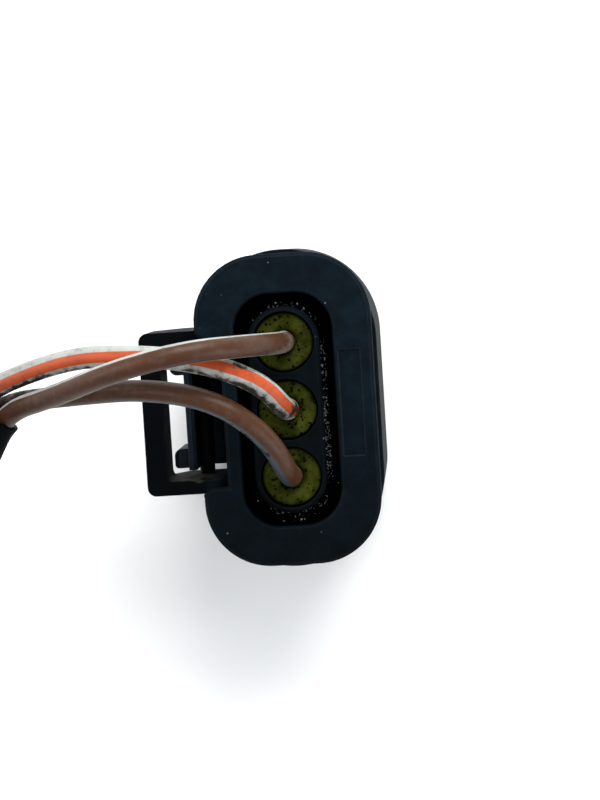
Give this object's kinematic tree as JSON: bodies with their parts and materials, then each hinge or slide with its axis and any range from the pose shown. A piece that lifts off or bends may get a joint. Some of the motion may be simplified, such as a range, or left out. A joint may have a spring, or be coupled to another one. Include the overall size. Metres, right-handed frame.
{
  "type": "sealed automotive wire connector",
  "caption": "Oval plug housing with wire seals in a row, a latch lever inside a guard loop, and striped wires bending away into a sleeve.",
  "frame": {"origin": "middle of the mating rim, on the plane that the connector stands on", "axes": "+Z out of the wire side, +Y along the row of cavities, +X away from the latch"},
  "size_m": [0.0965, 0.0758, 0.0406],
  "materials": {
    "housing_plastic": "black glass-filled moulding, satin, a little dust in the groove",
    "lever_plastic": "black moulding, satin",
    "lock_plastic": "light grey moulding, satin",
    "seal_silicone": "olive silicone, matte, with dark specks of dirt",
    "terminal_tin": "tin-plated copper alloy strip",
    "spring_steel": "stainless spring strip",
    "copper_strands": "bare twisted copper strands",
    "insulation_brown_white": "brown insulation with a thin white stripe, satin, dusty near its base",
    "insulation_white_orange": "white insulation with an orange stripe, satin, mottled with dirt",
    "insulation_brown_blue": "brown insulation with a blue-grey stripe, satin, mottled with dirt",
    "sleeve_plastic": "black soft vinyl tube, satin"
  },
  "bodies": {
    "connector": {"housing": "housing_plastic", "interface_seal": "seal_silicone", "harness_sleeve": "sleeve_plastic", "wire_seal_1": "seal_silicone", "terminal_1": "terminal_tin", "terminal_spring_1": "spring_steel", "crimped_strands_1": "copper_strands", "bare_strands_1": "copper_strands", "wire_seal_2": "seal_silicone", "terminal_2": "terminal_tin", "terminal_spring_2": "spring_steel", "crimped_strands_2": "copper_strands", "bare_strands_2": "copper_strands", "wire_seal_3": "seal_silicone", "terminal_3": "terminal_tin", "terminal_spring_3": "spring_steel", "crimped_strands_3": "copper_strands", "bare_strands_3": "copper_strands", "wire_brown_white": "insulation_brown_white", "wire_white_orange": "insulation_white_orange", "wire_brown_blue": "insulation_brown_blue"},
    "latch": {"latch_lever": "lever_plastic"},
    "lock": {"secondary_lock": "lock_plastic"}
  },
  "joints": [
    {"name": "latch_pivot", "type": "hinge", "parent": "connector", "child": "latch", "pos_m": [-0.0095, 0, 0.014], "axis": [0, 1, 0], "range_deg": [0, 9], "stiffness_Nm_per_rad": 0.4, "springref_deg": -1.72},
    {"name": "lock_slide", "type": "slide", "parent": "connector", "child": "lock", "axis": [0, 0, -1], "range_m": [0, 0.0015]}
  ]
}
